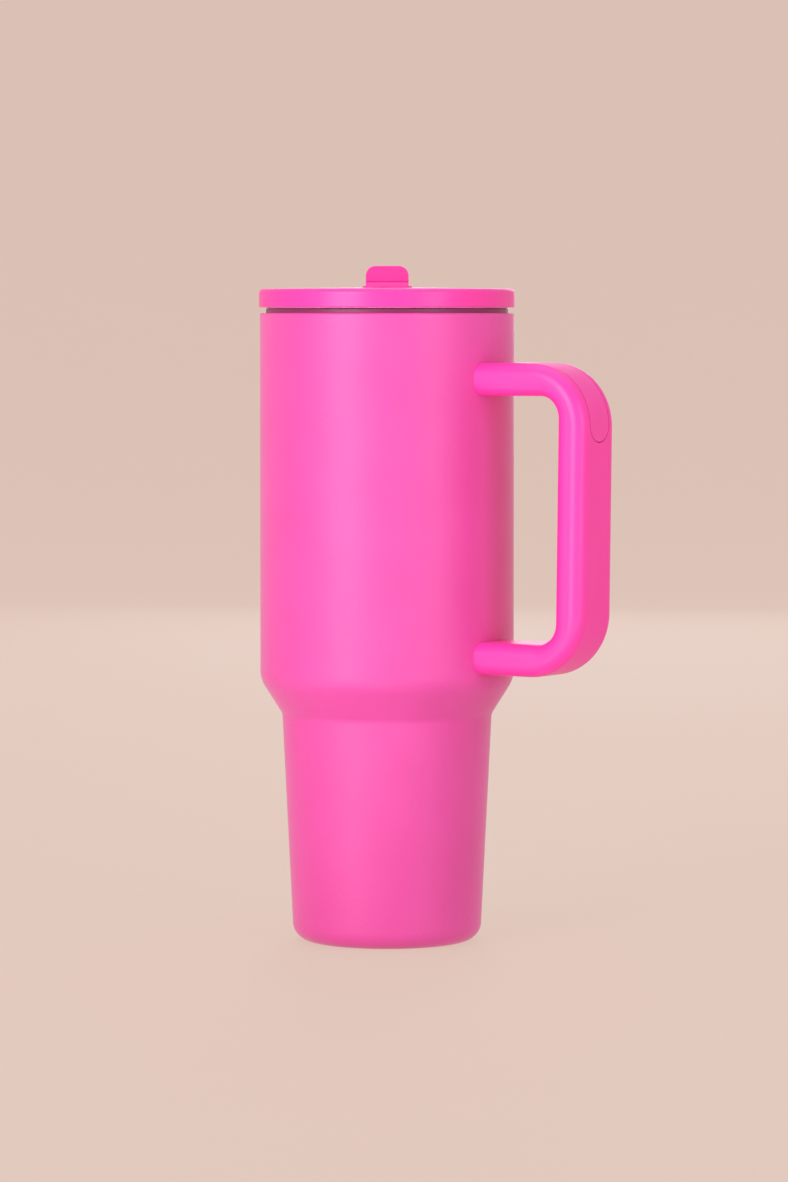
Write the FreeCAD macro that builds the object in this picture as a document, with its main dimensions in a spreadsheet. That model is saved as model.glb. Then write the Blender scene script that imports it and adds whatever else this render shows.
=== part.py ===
"""Insulated tumbler with a screw-in flip-straw lid and a loop handle, as a parametric assembly.

Frame: millimetres, +Z up, the origin on the flask's axis at the plane it stands on, +X towards the handle.
The lid is modelled with its spout along -Y and then turned by lid_clock to where its thread stops.
Every size is a cell of the sheet "dims"; sketches and features are bound to it by expressions.
"""
import FreeCAD, Part
import math
import os
import Sketcher

NEAR = 0.01  # mm within which two places count as the same

doc = FreeCAD.newDocument("tumbler")
dims = doc.addObject("Spreadsheet::Sheet", "dims")

SIZES = {
    # flask, outside
    "body_r": (49.0, "outer radius of the barrel"),
    "stem_top_r": (40.5, "outer radius of the stem at the foot of the shoulder"),
    "stem_base_r": (36.2, "outer radius of the stem where its taper meets the floor"),
    "shoulder_foot_z": (88.0, "foot of the conical shoulder"),
    "shoulder_top_z": (101.5, "top of the conical shoulder"),
    "shell_top_z": (242.6, "top edge of the painted shell"),
    "base_round": (7.0, "rounding of the bottom edge"),
    "crease_round": (5.0, "rounding at the foot of the shoulder"),
    "shoulder_round": (12.0, "rounding at the top of the shoulder"),
    "wall": (0.6, "steel sheet"),
    "edge_round": (0.8, "rounding of the shell's top edge"),
    "foot_inner_r": (27.4, "inner radius of the foot ring"),
    # flask, inside
    "vacuum_gap": (2.6, "gap between the two walls"),
    "liner_floor_z": (9.0, "underside of the liner's bottom"),
    "liner_corner_lift": (0.9, "rise of the liner's shoulder corners over the shell's"),
    "liner_round": (8.0, "rounding of the liner's bottom edge"),
    "lip_z": (244.5, "top of the steel lip"),
    "lip_r": (46.4, "outer radius of the lip"),
    "lip_skirt": (3.9, "depth of the lip's rolled edge"),
    "lip_round": (0.7, "rounding of the lip's outer edge"),
    "disc_z": (2.2, "underside of the base disc"),
    "disc_lip_z": (0.2, "lowest edge of the base disc's rim"),
    "dimple_r": (6.4, "inner radius of the vacuum port's dimple"),
    "dimple_z": (3.4, "ceiling of the dimple"),
    "port_hole_r": (1.0, "vacuum port"),
    "seal_pill_r": (6.0, "radius of the glass seal"),
    "seal_pill_z": (2.5, "underside of the glass seal"),
    "cap_r": (26.6, "radius of the base cap"),
    "getter_r": (5.0, "getter radius"),
    "getter_h": (1.2, "getter thickness"),
    "getter_x": (16.0, "getter's distance from the axis"),
    # screw thread between the flask's mouth and the lid
    "pitch": (6.0, "thread pitch"),
    "thread_turns": (0.9167, "turns of each thread"),
    "thread_z": (234.0, "start of the flask's thread"),
    "thread_root": (1.3, "half width of a thread at its root"),
    "thread_crest": (0.55, "half width of a thread at its crest"),
    "flask_crest_r": (43.7, "crest radius of the flask's thread"),
    "lid_crest_r": (44.85, "crest radius of the lid's thread"),
    "thread_drop": (1.95, "height of the flask's thread over the lid's, closed"),
    # handle
    "handle_w": (25.5, "width of the handle"),
    "handle_t": (12.5, "thickness of the handle"),
    "arm_top_z": (223.9, "top of the upper arm"),
    "arm_low_z": (105.3, "underside of the lower arm"),
    "grip_top_x": (95.7, "outer face of the grip at its top"),
    "grip_low_x": (94.2, "outer face of the grip at its foot"),
    "corner_top": (24.0, "outer radius of the upper bend"),
    "corner_low": (24.5, "outer radius of the lower bend"),
    "corner_in": (8.3, "inner radius of both bends"),
    "handle_edge": (5.0, "rounding along the handle"),
    "arm_clear": (0.1, "gap between an arm's end and the shell"),
    "root_x": (39.2, "start of the arms' blank, inside the shell's radius"),
    "pad_w": (13.4, "width of the thumb pad"),
    "pad_t": (1.6, "thickness of the thumb pad"),
    "pad_x": (68.0, "start of the thumb pad on the upper arm"),
    "pad_z": (194.4, "lower tip of the thumb pad"),
    "end_flat": (0.15, "half width of the flat left at an inlay's rounded end"),
    "cover_w": (15.0, "width of the grip's inner cover"),
    "cover_t": (2.0, "thickness of the cover"),
    "cover_len": (66.0, "length of the cover"),
    "cover_z": (164.5, "middle of the cover"),
    "core_w": (11.0, "width of the cored pockets behind the cover"),
    "core_depth": (5.0, "depth of the cored pockets"),
    "core_len": (17.0, "length of one cored pocket"),
    "core_step": (19.5, "spacing of the cored pockets"),
    "inlay_gap": (0.35, "gap around an inlay"),
    "inlay_over": (2.0, "height to which an inlay's pocket is cut past the surface"),
    # handle brackets and screws
    "plate_in_x": (45.0, "start of a bracket's blank, inside the shell's radius"),
    "plate_w": (18.0, "width of a bracket's foot plate"),
    "plate_h": (8.6, "height of a bracket's foot plate"),
    "plate_x": (50.6, "front face of the foot plate"),
    "tongue_w": (10.0, "width of a bracket's tongue"),
    "tongue_h": (5.0, "height of a bracket's tongue"),
    "tongue_x": (66.0, "end of the tongue"),
    "tongue_round": (1.7, "corner radius of the tongue's end"),
    "socket_gap": (0.2, "gap around a bracket in its socket"),
    "screw_x": (60.0, "screw axis"),
    "screw_r": (1.6, "screw shank radius"),
    "tap_r": (1.65, "tapped hole radius"),
    "screw_len": (7.6, "shank length"),
    "head_r": (3.4, "screw head radius"),
    "head_h": (2.0, "screw head height"),
    "head_round": (0.8, "rounding of the screw head"),
    "head_sink": (2.2, "depth of the screw's counterbore"),
    "hex_r": (1.45, "across-corners radius of the hexagon socket"),
    "hex_depth": (1.2, "depth of the hexagon socket"),
    # lid
    "lid_clock": (33.5, "angle at which the thread stops the lid, in degrees"),
    "lid_r": (49.3, "lid radius"),
    "lid_z": (244.8, "underside of the lid's rim"),
    "deck_edge_z": (251.9, "top of the lid at its edge"),
    "deck_mid_z": (252.6, "top of the lid at its middle"),
    "deck_under_z": (249.8, "underside of the deck's plate"),
    "rim_wall": (1.05, "thickness of the deck's rim"),
    "deck_round": (1.9, "rounding of the deck's top edge"),
    "rim_round": (0.46, "rounding of the rim's lower edge"),
    "plug_r": (43.3, "radius of the plug's wall"),
    "plug_wall": (1.8, "thickness of the plug's wall"),
    "plug_z": (229.0, "underside of the plug"),
    "plug_floor": (2.0, "thickness of the plug's floor"),
    "flange_z": (245.0, "underside of the plug's flange"),
    "flange_r": (48.2, "radius of the plug's flange"),
    "seal_in_r": (44.7, "inner radius of the lid seal"),
    "seal_out_r": (46.5, "outer radius of the lid seal"),
    "seal_low_z": (244.55, "underside of the lid seal"),
    "seal_top_z": (247.2, "top of the lid seal"),
    "seal_room": (0.15, "gap beside the lid seal in its groove"),
    "trough_w": (17.0, "width of the trough"),
    "trough_front": (24.0, "front end of the trough, before the lid's middle"),
    "trough_back": (22.4, "back end of the trough"),
    "trough_z": (241.6, "floor of the trough"),
    "trough_round": (3.0, "corner radius of the trough"),
    "tub_wall": (2.0, "wall around the trough"),
    "tub_floor": (1.6, "floor under the trough"),
    "bezel_w": (0.95, "width of the raised bezel"),
    "bezel_z": (252.95, "top of the bezel"),
    "bezel_round": (0.4, "rounding of the bezel's outer edge"),
    "bezel_lip": (0.25, "rounding of the bezel's inner edge"),
    # flip spout, lying closed
    "hinge_y": (14.0, "hinge axis, behind the lid's middle"),
    "hinge_z": (249.2, "hinge axis height"),
    "drum_r": (6.2, "radius of the spout's drum"),
    "spout_w": (16.4, "width of the spout"),
    "spout_top_z": (254.6, "top of the spout's housing"),
    "spout_low_z": (244.6, "underside of the spout's housing"),
    "spout_front": (15.0, "front end of the housing, before the lid's middle"),
    "tab_z": (260.6, "top of the finger tab"),
    "tab_back": (9.4, "back of the finger tab, before the lid's middle"),
    "tab_lip": (0.6, "overhang of the finger tab"),
    "neck_in": (0.5, "overhang of the tab over the top of its neck"),
    "neck_out": (1.5, "reach of the neck's foot before the housing"),
    "neck_z": (253.05, "foot of the neck"),
    "tab_lip_z": (254.8, "underside of the tab's overhang"),
    "tab_round": (3.8, "corner radius of the finger tab"),
    "tab_edge": (0.35, "rounding of the tab's top edges"),
    "tab_sweep": (3.0, "rounding at the back of the tab's foot"),
    "nub_r": (2.4, "radius of the nub that shuts the vent"),
    "nub_z": (243.1, "lower end of the nub"),
    "pin_r": (2.2, "hinge pin radius"),
    "pin_in_x": (4.4, "inner end of a hinge pin"),
    "pin_out_x": (10.2, "outer end of a hinge pin"),
    "pin_gap": (0.05, "running clearance of a hinge pin"),
    "channel_r": (2.8, "drinking channel"),
    "mouth_r": (3.6, "outer radius of the mouthpiece's sleeve"),
    "mouth_seat": (9.0, "depth of the mouthpiece's sleeve"),
    "tip_r": (3.75, "radius of the mouthpiece's tip"),
    "tip_len": (7.0, "length of the mouthpiece's tip"),
    "tip_round": (0.8, "rounding of the tip's end"),
    # passages under the spout
    "port_seal_r": (5.8, "radius of the port seal"),
    "port_seat_z": (239.6, "seat of the port seal"),
    "port_seal_z": (244.3, "top of the port seal"),
    "port_seal_gap": (0.15, "gap between the port seal and the drum"),
    "tube_r": (7.4, "outer radius of the straw tube"),
    "tube_z": (226.0, "lower end of the straw tube"),
    "grommet_r": (6.0, "radius of the straw's grommet"),
    "grommet_top_z": (238.4, "upper end of the grommet"),
    "grommet_flange": (1.4, "thickness of the grommet's flange"),
    "straw_r": (3.9, "outer radius of the straw"),
    "straw_bore": (2.8, "inner radius of the straw"),
    "straw_low_z": (13.6, "lower end of the straw"),
    "straw_top_z": (237.4, "upper end of the straw"),
    "straw_slant": (3.0, "rise of the straw's slanted cut"),
    "vent_y": (8.0, "vent, before the lid's middle"),
    "vent_tube_r": (3.4, "outer radius of the vent tube"),
    "vent_r": (1.0, "vent hole radius"),
    "valve_r": (2.2, "radius of the vent valve's stem"),
    "valve_head_r": (3.8, "radius of the vent valve's head"),
    "valve_head_h": (1.2, "thickness of the vent valve's head"),
    "valve_neck": (3.5, "height of the vent valve's stem"),
    "valve_round": (0.6, "rounding of the vent valve's head"),
}
for number, (alias, (size, meaning)) in enumerate(SIZES.items(), start=1):
    dims.set(f"A{number}", meaning)
    dims.set(f"B{number}", str(size))
    dims.setAlias(f"B{number}", alias)
doc.recompute()


# ---------------------------------------------------------------- sketch and feature helpers
def size_of(expression):
    """The number that an expression over the sheet has now."""
    result = dims.evalExpression(expression)
    return float(getattr(result, "Value", result))


def new_body(label):
    body = doc.addObject("PartDesign::Body", label)
    body.Label = label
    return body


def new_sketch(body, name, role, lift="0"):
    """An empty sketch on one of the body's own origin planes, raised along its normal."""
    sketch = body.newObject("Sketcher::SketchObject", name)
    support = next(o for o in body.Origin.OriginFeatures if o.Role == role)
    sketch.AttachmentSupport = [(support, "")]
    sketch.MapMode = "FlatFace"
    if lift != "0":
        sketch.setExpression("AttachmentOffset.Base.z", lift)
    return sketch


def hold(sketch, element, vertex, x, y):
    """Dimensions one point of a sketch from its origin; a plain "0" puts it on the axis."""
    for kind, expression, axis in (("DistanceX", x, -2), ("DistanceY", y, -1)):
        if expression == "0":
            sketch.addConstraint(Sketcher.Constraint("PointOnObject", element, vertex, axis))
            continue
        constraint = Sketcher.Constraint(kind, -1, 1, element, vertex, size_of(expression))
        index = sketch.addConstraint(constraint)
        sketch.setExpression(f"Constraints[{index}]", expression)


def polygon(sketch, corners):
    """A closed outline through corners, each an (x, y) pair of expressions."""
    points = [FreeCAD.Vector(size_of(x), size_of(y), 0) for x, y in corners]
    first = sketch.GeometryCount
    count = len(points)
    for i, point in enumerate(points):
        sketch.addGeometry(Part.LineSegment(point, points[(i + 1) % count]), False)
    for i in range(count):
        after = first + (i + 1) % count
        sketch.addConstraint(Sketcher.Constraint("Coincident", first + i, 2, after, 1))
    for i, (x, y) in enumerate(corners):
        hold(sketch, first + i, 1, x, y)
    return sketch


def rectangle(sketch, left, right, low, high):
    return polygon(sketch, [(left, low), (right, low), (right, high), (left, high)])


def circle(sketch, x, y, radius):
    centre = FreeCAD.Vector(size_of(x), size_of(y), 0)
    shape = Part.Circle(centre, FreeCAD.Vector(0, 0, 1), size_of(radius))
    element = sketch.addGeometry(shape, False)
    hold(sketch, element, 3, x, y)
    index = sketch.addConstraint(Sketcher.Constraint("Radius", element, size_of(radius)))
    sketch.setExpression(f"Constraints[{index}]", radius)
    return sketch


def revolve(body, name, corners):
    """Turns an outline of (radius, height) corners about the Z axis."""
    sketch = polygon(new_sketch(body, name + "_outline", "XZ_Plane"), corners)
    feature = body.newObject("PartDesign::Revolution", name)
    feature.Profile = sketch
    feature.ReferenceAxis = (sketch, ["V_Axis"])
    feature.Angle = 360
    doc.recompute()
    return feature


def pad(body, sketch, name, length, symmetric=False):
    feature = body.newObject("PartDesign::Pad", name)
    feature.Profile = sketch
    feature.SideType = "Symmetric" if symmetric else "One side"
    feature.setExpression("Length", length)
    doc.recompute()
    return feature


def pocket(body, sketch, name, length, symmetric=False, reverse=False):
    """A pocket that must remove something; reverse sends it along the sketch's own normal."""
    before = body.Tip.Shape.Volume
    feature = body.newObject("PartDesign::Pocket", name)
    feature.Profile = sketch
    feature.SideType = "Symmetric" if symmetric else "One side"
    feature.Reversed = reverse
    feature.setExpression("Length", length)
    doc.recompute()
    if feature.Shape.Volume > before - 1e-3:
        raise RuntimeError(f"{body.Label}: pocket {name} removes nothing")
    return feature


def fillet(body, name, radius, wanted):
    """Rounds the edges of the body's tip for which wanted(edge) is true."""
    base = body.Tip
    names = [f"Edge{i}" for i, edge in enumerate(base.Shape.Edges, start=1) if wanted(edge)]
    if not names:
        raise RuntimeError(f"{body.Label}: no edge for {name}")
    feature = body.newObject("PartDesign::Fillet", name)
    feature.Base = (base, names)
    feature.setExpression("Radius", radius)
    doc.recompute()
    if feature.Shape.isNull() or "Invalid" in feature.State:
        raise RuntimeError(f"{body.Label}: fillet {name} fails on {names}")
    return feature


def shell_out(body, name):
    """Hollows the tip to one sheet thickness and leaves its highest flat face open."""
    base = body.Tip
    flat = [(face.CenterOfMass.z, f"Face{i}") for i, face in enumerate(base.Shape.Faces, start=1)
            if isinstance(face.Surface, Part.Plane)]
    feature = body.newObject("PartDesign::Thickness", name)
    feature.Base = (base, [max(flat)[1]])
    feature.Reversed = True
    feature.setExpression("Value", "dims.wall")
    doc.recompute()
    return feature


def helical_rib(body, name, root_r, crest_r, start_z):
    """A one-start thread: a trapezoid from root_r to crest_r, swept up from start_z."""
    corners = [
        (root_r, f"{start_z} - dims.thread_root"),
        (crest_r, f"{start_z} - dims.thread_crest"),
        (crest_r, f"{start_z} + dims.thread_crest"),
        (root_r, f"{start_z} + dims.thread_root"),
    ]
    sketch = polygon(new_sketch(body, name + "_section", "XZ_Plane"), corners)
    feature = body.newObject("PartDesign::AdditiveHelix", name)
    feature.Profile = sketch
    feature.ReferenceAxis = (sketch, ["V_Axis"])
    feature.Mode = 1  # by pitch and number of turns
    feature.setExpression("Pitch", "dims.pitch")
    feature.setExpression("Turns", "dims.thread_turns")
    doc.recompute()
    return feature


def cylinder(label, radius, low, height, x="0", y="0"):
    """An upright Part cylinder whose sizes and place are expressions."""
    shape = doc.addObject("Part::Cylinder", label)
    shape.Label = label
    for target, expression in (("Radius", radius), ("Height", height), ("Placement.Base.x", x),
                               ("Placement.Base.y", y), ("Placement.Base.z", low)):
        shape.setExpression(target, expression)
    return shape


def cut(label, base, tool):
    shape = doc.addObject("Part::Cut", label)
    shape.Label = label
    shape.Base, shape.Tool = base, tool
    doc.recompute()
    return shape


def is_ring(radius, height):
    """A test for the circular edge of that radius and height about the Z axis."""
    r, z = size_of(radius), size_of(height)

    def test(edge):
        curve = edge.Curve
        return (isinstance(curve, Part.Circle) and abs(curve.Radius - r) < 2 * NEAR
                and abs(curve.Center.z - z) < 2 * NEAR)
    return test


def lies_at(height):
    """A test for edges that lie flat at a height."""
    z = size_of(height)
    return lambda edge: (abs(edge.CenterOfMass.z - z) < NEAR
                         and all(abs(vertex.Z - z) < NEAR for vertex in edge.Vertexes))


def runs_along(axis, wanted=lambda middle: True):
    """A test for straight edges parallel to an axis whose middle passes wanted."""
    direction = FreeCAD.Vector(*axis)

    def test(edge):
        if not isinstance(edge.Curve, Part.Line):
            return False
        straight = abs(abs(edge.Curve.Direction.dot(direction)) - 1) < 1e-6
        return straight and wanted(edge.CenterOfMass)
    return test


# ---------------------------------------------------------------- flask
def make_outer_shell():
    """Drawn and painted outer wall: tapered stem, conical shoulder, barrel, turned-in top."""
    body = new_body("outer_shell")
    revolve(body, "Wall", [
        ("0", "0"),
        ("dims.stem_base_r", "0"),
        ("dims.stem_top_r", "dims.shoulder_foot_z"),
        ("dims.body_r", "dims.shoulder_top_z"),
        ("dims.body_r", "dims.shell_top_z"),
        ("0", "dims.shell_top_z"),
    ])
    fillet(body, "BaseRound", "dims.base_round", is_ring("dims.stem_base_r", "0"))
    fillet(body, "CreaseRound", "dims.crease_round",
           is_ring("dims.stem_top_r", "dims.shoulder_foot_z"))
    fillet(body, "ShoulderRound", "dims.shoulder_round",
           is_ring("dims.body_r", "dims.shoulder_top_z"))
    shell_out(body, "Sheet")
    opening = circle(new_sketch(body, "Opening_outline", "XY_Plane"), "0", "0", "dims.foot_inner_r")
    pocket(body, opening, "Opening", "dims.wall * 2", reverse=True)
    revolve(body, "Flange", [
        ("dims.lip_r", "dims.shell_top_z - dims.wall"),
        ("dims.body_r - dims.wall / 2", "dims.shell_top_z - dims.wall"),
        ("dims.body_r - dims.wall / 2", "dims.shell_top_z"),
        ("dims.lip_r", "dims.shell_top_z"),
    ])
    fillet(body, "PaintedEdge", "dims.edge_round", is_ring("dims.body_r", "dims.shell_top_z"))
    return body


def make_inner_liner():
    """Drawn inner vessel with its rolled steel lip and the rolled thread of its mouth."""
    jacket = "(dims.wall + dims.vacuum_gap)"
    slope = "(dims.stem_top_r - dims.stem_base_r) / dims.shoulder_foot_z"
    liner_r = f"dims.body_r - {jacket}"
    base_r = f"dims.stem_base_r + {slope} * dims.liner_floor_z - {jacket}"
    stem_r = f"dims.stem_top_r - {jacket}"
    foot_z = "dims.shoulder_foot_z + dims.liner_corner_lift"
    top_z = "dims.shoulder_top_z + dims.liner_corner_lift"
    body = new_body("inner_liner")
    revolve(body, "Vessel", [
        ("0", "dims.liner_floor_z"),
        (base_r, "dims.liner_floor_z"),
        (stem_r, foot_z),
        (liner_r, top_z),
        (liner_r, "dims.lip_z"),
        ("0", "dims.lip_z"),
    ])
    fillet(body, "FloorRound", "dims.liner_round", is_ring(base_r, "dims.liner_floor_z"))
    fillet(body, "CreaseRound", "dims.crease_round", is_ring(stem_r, foot_z))
    fillet(body, "ShoulderRound", "dims.shoulder_round", is_ring(liner_r, top_z))
    shell_out(body, "Sheet")
    middle_r = f"{liner_r} - dims.wall / 2"
    revolve(body, "Lip", [
        (middle_r, "dims.lip_z - dims.lip_skirt"),
        ("dims.lip_r", "dims.lip_z - dims.lip_skirt"),
        ("dims.lip_r", "dims.lip_z"),
        (middle_r, "dims.lip_z"),
    ])
    fillet(body, "LipRound", "dims.lip_round", is_ring("dims.lip_r", "dims.lip_z"))
    helical_rib(body, "Thread", middle_r, "dims.flask_crest_r", "dims.thread_z")
    return body


def make_outer_base():
    """Pressed steel disc that closes the shell, with the dimple and hole of the vacuum port."""
    body = new_body("outer_base")
    revolve(body, "Pressing", [
        ("dims.port_hole_r", "dims.dimple_z"),
        ("dims.dimple_r", "dims.dimple_z"),
        ("dims.dimple_r", "dims.disc_z"),
        ("dims.foot_inner_r - dims.wall", "dims.disc_z"),
        ("dims.foot_inner_r - dims.wall", "dims.disc_lip_z"),
        ("dims.foot_inner_r", "dims.disc_lip_z"),
        ("dims.foot_inner_r", "dims.disc_z + dims.wall"),
        ("dims.dimple_r + dims.wall", "dims.disc_z + dims.wall"),
        ("dims.dimple_r + dims.wall", "dims.dimple_z + dims.wall"),
        ("dims.port_hole_r", "dims.dimple_z + dims.wall"),
    ])
    return body


def make_small_flask_parts():
    """The glass seal of the port, the cap that hides it and the getter on the liner."""
    pill = cylinder("vacuum_seal", "dims.seal_pill_r", "dims.seal_pill_z",
                    "dims.dimple_z - dims.seal_pill_z")
    cap = cylinder("base_cap", "dims.cap_r", "dims.disc_z - dims.wall", "dims.wall")
    getter = cylinder("getter", "dims.getter_r", "dims.liner_floor_z - dims.getter_h",
                      "dims.getter_h", x="dims.getter_x")
    return [pill, cap, getter]


# ---------------------------------------------------------------- handle
ARMS = {
    "upper": "dims.arm_top_z - dims.handle_t / 2",
    "lower": "dims.arm_low_z + dims.handle_t / 2",
}


def make_bracket(label, middle):
    """Steel bracket welded to the shell: a saddled foot plate with a tapped tongue."""
    body = new_body(label)
    plate = new_sketch(body, "Plate_outline", "XY_Plane", middle)
    rectangle(plate, "dims.plate_in_x", "dims.plate_x", "-dims.plate_w / 2", "dims.plate_w / 2")
    pad(body, plate, "Plate", "dims.plate_h", symmetric=True)
    tongue = new_sketch(body, "Tongue_outline", "XY_Plane", middle)
    rectangle(tongue, "dims.body_r", "dims.tongue_x", "-dims.tongue_w / 2", "dims.tongue_w / 2")
    pad(body, tongue, "Tongue", "dims.tongue_h", symmetric=True)
    saddle = circle(new_sketch(body, "Saddle_outline", "XY_Plane", middle), "0", "0", "dims.body_r")
    pocket(body, saddle, "Saddle", "dims.plate_h * 2", symmetric=True)
    hole = circle(new_sketch(body, "Tap_outline", "XY_Plane", middle), "dims.screw_x", "0",
                  "dims.tap_r")
    pocket(body, hole, "Tap", "dims.plate_h * 2", symmetric=True)
    fillet(body, "TongueEnd", "dims.tongue_round",
           runs_along((0, 0, 1), lambda m: m.x > size_of("dims.tongue_x") - NEAR))
    return body


def make_screw(label, middle):
    """Button screw that enters an arm from below and fastens it to the bracket's tongue."""
    body = new_body(label)
    head_z = f"{middle} - dims.handle_t / 2 + dims.head_sink"
    head = circle(new_sketch(body, "Head_outline", "XY_Plane", head_z), "dims.screw_x", "0",
                  "dims.head_r")
    pad(body, head, "Head", "dims.head_h").Reversed = True
    doc.recompute()
    fillet(body, "HeadRound", "dims.head_round", lies_at(f"{head_z} - dims.head_h"))
    shank = circle(new_sketch(body, "Shank_outline", "XY_Plane", head_z), "dims.screw_x", "0",
                   "dims.screw_r")
    pad(body, shank, "Shank", "dims.screw_len")
    drive = new_sketch(body, "Drive_outline", "XY_Plane", f"{head_z} - dims.head_h")
    # turned a hair, so that no corner has a height of exactly nought
    turns = [math.radians(60 * i) + 1e-4 for i in range(6)]
    corners = [(f"dims.screw_x + dims.hex_r * {math.cos(turn):.4f}",
                f"dims.hex_r * {math.sin(turn):.4f}") for turn in turns]
    polygon(drive, corners)
    pocket(body, drive, "Drive", "dims.hex_depth", reverse=True)
    return body


def grip_face_x(z, depth="0"):
    """The grip's outer face at height z, or a face that lies depth behind it."""
    lean = "(dims.grip_top_x - dims.grip_low_x) / (dims.arm_top_z - dims.arm_low_z)"
    return f"dims.grip_low_x + {lean} * ({z} - dims.arm_low_z) - ({depth})"


def make_thumb_pad(label, gap="0", over="0"):
    """Soft inlay over the upper bend; gap and over grow it into the tool for its pocket."""
    inner_z = "dims.arm_top_z - dims.pad_t"
    outer_z = f"dims.arm_top_z + {over}"
    tip_z = f"dims.pad_z - {gap}"
    start_x = f"dims.pad_x - {gap}"
    body = new_body(label)
    side = polygon(new_sketch(body, "Strip_outline", "XZ_Plane"), [
        (start_x, inner_z),
        (grip_face_x(inner_z, "dims.pad_t"), inner_z),
        (grip_face_x(tip_z, "dims.pad_t"), tip_z),
        (grip_face_x(tip_z, f"-({over})"), tip_z),
        (grip_face_x(outer_z, f"-({over})"), outer_z),
        (start_x, outer_z),
    ])
    pad(body, side, "Strip", f"dims.pad_w + {gap} * 2", symmetric=True)
    across = runs_along((0, 1, 0), lambda m: m.x > size_of("dims.pad_x + dims.pad_w"))
    level = size_of(outer_z) - NEAR
    fillet(body, "OuterBend", f"dims.corner_top + {over}",
           lambda e: across(e) and e.CenterOfMass.z > level)
    fillet(body, "InnerBend", "dims.corner_top - dims.pad_t",
           lambda e: across(e) and abs(e.CenterOfMass.z - size_of(inner_z)) < NEAR)
    end_round = f"dims.pad_w / 2 - dims.end_flat + {gap}"
    fillet(body, "LowerEnd", end_round,
           runs_along((1, 0, 0), lambda m: m.z < size_of("dims.pad_z") + NEAR))
    fillet(body, "UpperEnd", end_round,
           runs_along((0, 0, 1), lambda m: m.x < size_of("dims.pad_x") + NEAR))
    return body


def make_grip_cover(label, gap="0", over="0"):
    """Cover let into the grip's finger side; gap and over grow it into the tool for its pocket."""
    low = f"dims.cover_z - dims.cover_len / 2 - {gap}"
    high = f"dims.cover_z + dims.cover_len / 2 + {gap}"
    face, back = f"dims.handle_t + {over}", "dims.handle_t - dims.cover_t"
    body = new_body(label)
    side = polygon(new_sketch(body, "Strip_outline", "XZ_Plane"), [
        (grip_face_x(low, face), low),
        (grip_face_x(low, back), low),
        (grip_face_x(high, back), high),
        (grip_face_x(high, face), high),
    ])
    pad(body, side, "Strip", f"dims.cover_w + {gap} * 2", symmetric=True)
    fillet(body, "Ends", f"dims.cover_w / 2 - dims.end_flat + {gap}", runs_along((1, 0, 0)))
    return body


def make_handle_frame():
    """One moulding: two arms and a grip, cored behind the cover, with a socket for each bracket."""
    top_z, low_z = "dims.arm_top_z", "dims.arm_low_z"
    under_top, over_low = f"{top_z} - dims.handle_t", f"{low_z} + dims.handle_t"
    body = new_body("handle_blank")
    loop = polygon(new_sketch(body, "Loop_outline", "XZ_Plane"), [
        ("dims.root_x", low_z),
        ("dims.grip_low_x", low_z),
        ("dims.grip_top_x", top_z),
        ("dims.root_x", top_z),
        ("dims.root_x", under_top),
        (grip_face_x(under_top, "dims.handle_t"), under_top),
        (grip_face_x(over_low, "dims.handle_t"), over_low),
        ("dims.root_x", over_low),
    ])
    pad(body, loop, "Loop", "dims.handle_w", symmetric=True)
    bend_x = size_of("dims.body_r") + size_of("dims.handle_w")

    def bend_at(z):
        return runs_along((0, 1, 0), lambda m: m.x > bend_x and abs(m.z - size_of(z)) < NEAR)
    fillet(body, "UpperBend", "dims.corner_top", bend_at(top_z))
    fillet(body, "LowerBend", "dims.corner_low", bend_at(low_z))
    inner = [bend_at(under_top), bend_at(over_low)]
    fillet(body, "InnerBends", "dims.corner_in", lambda e: any(test(e) for test in inner))
    side_y = size_of("dims.handle_w / 2")
    fillet(body, "LongEdges", "dims.handle_edge",
           lambda e: abs(abs(e.CenterOfMass.y) - side_y) < NEAR
           and e.CenterOfMass.x > size_of("dims.root_x") + NEAR)
    against = circle(new_sketch(body, "Shell_outline", "XY_Plane", low_z), "0", "0",
                     "dims.body_r + dims.arm_clear")
    pocket(body, against, "Against_shell", "(dims.arm_top_z - dims.arm_low_z) * 2", symmetric=True)
    for name, middle in ARMS.items():
        cut_bracket_socket(body, name, middle)
    core_x = grip_face_x("dims.cover_z - dims.cover_len / 2", "dims.handle_t")
    for step in (-1, 0, 1):
        core = new_sketch(body, f"Core_outline_{step + 2}", "YZ_Plane", core_x)
        middle = f"dims.cover_z + dims.core_step * {step}"
        rectangle(core, "-dims.core_w / 2", "dims.core_w / 2", f"{middle} - dims.core_len / 2",
                  f"{middle} + dims.core_len / 2")
        pocket(body, core, f"Core_{step + 2}", "dims.cover_t + dims.core_depth", reverse=True)
    grown = ("dims.inlay_gap", "dims.inlay_over")
    for_pad = cut("handle_with_pad_pocket", body, make_thumb_pad("thumb_pad_pocket", *grown))
    return cut("handle_frame", for_pad, make_grip_cover("grip_cover_pocket", *grown))


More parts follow.
